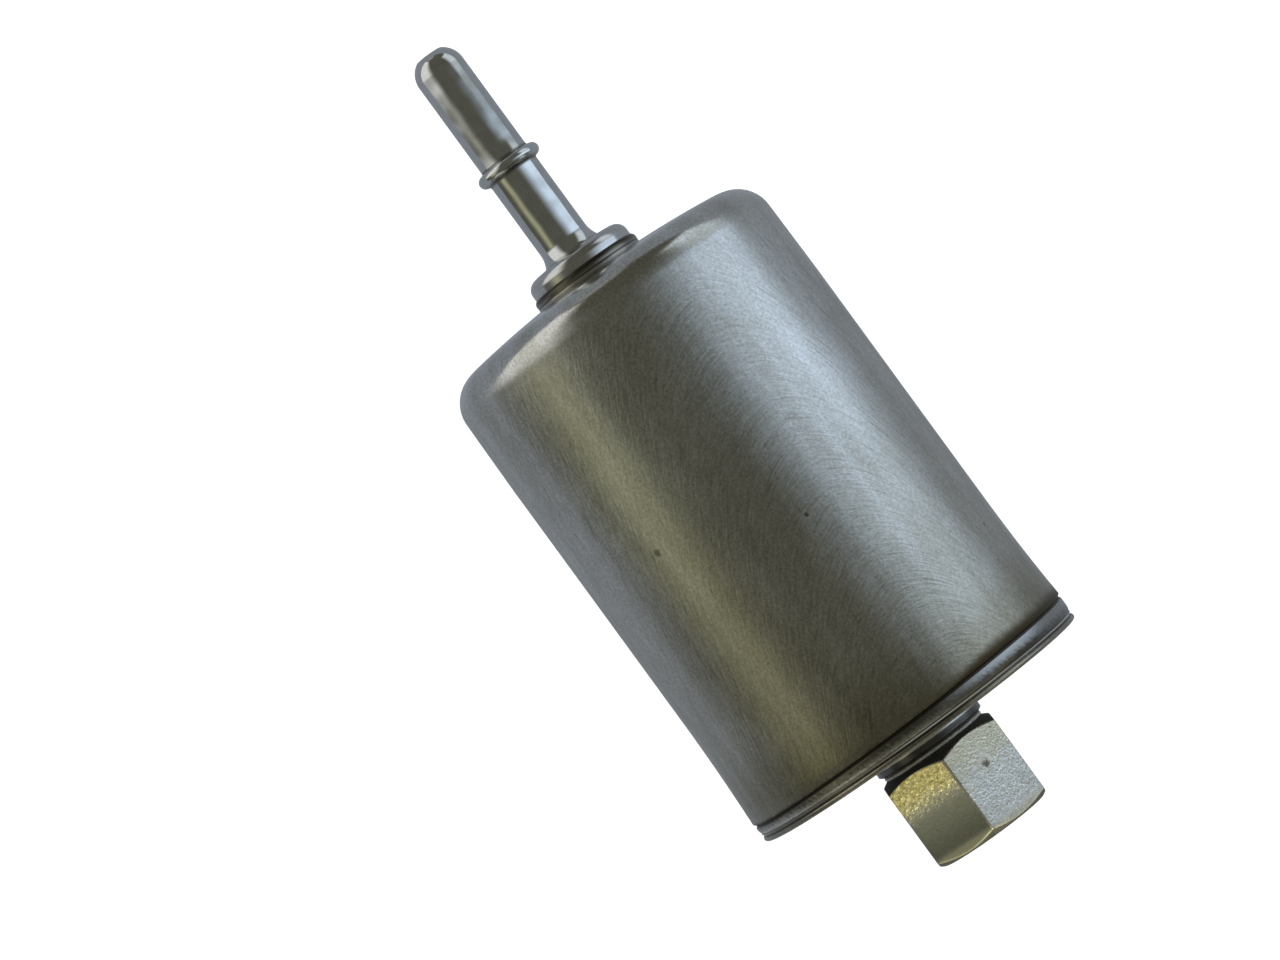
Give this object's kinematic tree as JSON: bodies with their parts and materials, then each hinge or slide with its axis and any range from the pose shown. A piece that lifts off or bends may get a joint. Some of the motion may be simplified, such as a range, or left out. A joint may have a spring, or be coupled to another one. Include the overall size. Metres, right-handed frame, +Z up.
{
  "type": "in-line fuel filter",
  "caption": "Cylindrical steel in-line fuel filter with a rolled seam, a beaded quick-connect spigot on one end and a hexagonal female threaded fitting on the other.",
  "frame": {"origin": "on the filter's long axis, at the middle of the can between its seam and its shoulder", "axes": "+X along the axis towards the outlet spigot, -X towards the hexagonal inlet nut, +Z up through one corner of the hexagon with the filter lying on its side"},
  "size_m": [0.1402, 0.056, 0.056],
  "materials": {
    "can_steel": "sanded in curved strokes",
    "cover_steel": "pressed, satin",
    "tube_steel": "smooth drawn",
    "collar_steel": "turned",
    "base_steel": "turned",
    "braze": "dull braze",
    "boss_steel": "dark, heat-stained",
    "zinc_plate": "grainy zinc plate",
    "seal_rubber": "matt",
    "pressed_steel": "pressed, satin",
    "spring_steel": "drawn wire",
    "tinned_steel": "tinned",
    "potting": "cast adhesive",
    "filter_paper": "creped"
  },
  "bodies": {
    "housing": {"shell": "can_steel", "end_cover": "cover_steel", "seam_seal": "seal_rubber", "outlet_tube": "tube_steel", "outlet_collar": "collar_steel", "outlet_base": "base_steel", "outlet_braze": "braze", "inlet_boss": "boss_steel", "inlet_fitting": "zinc_plate", "inlet_braze": "braze", "spring_seat": "pressed_steel", "element_spring": "spring_steel"},
    "element": {"bottom_end_cap": "tinned_steel", "bottom_potting": "potting", "filter_media": "filter_paper", "media_clip": "pressed_steel", "center_tube": "pressed_steel", "top_potting": "potting", "top_end_cap": "tinned_steel", "outlet_seal": "seal_rubber"}
  },
  "joints": [
    {"name": "element_float", "type": "slide", "parent": "housing", "child": "element", "axis": [1, 0, 0], "range_m": [-0.002, 0], "stiffness_N_per_m": 1500, "springref_m": 0.006, "deforming": ["element_spring"]}
  ]
}
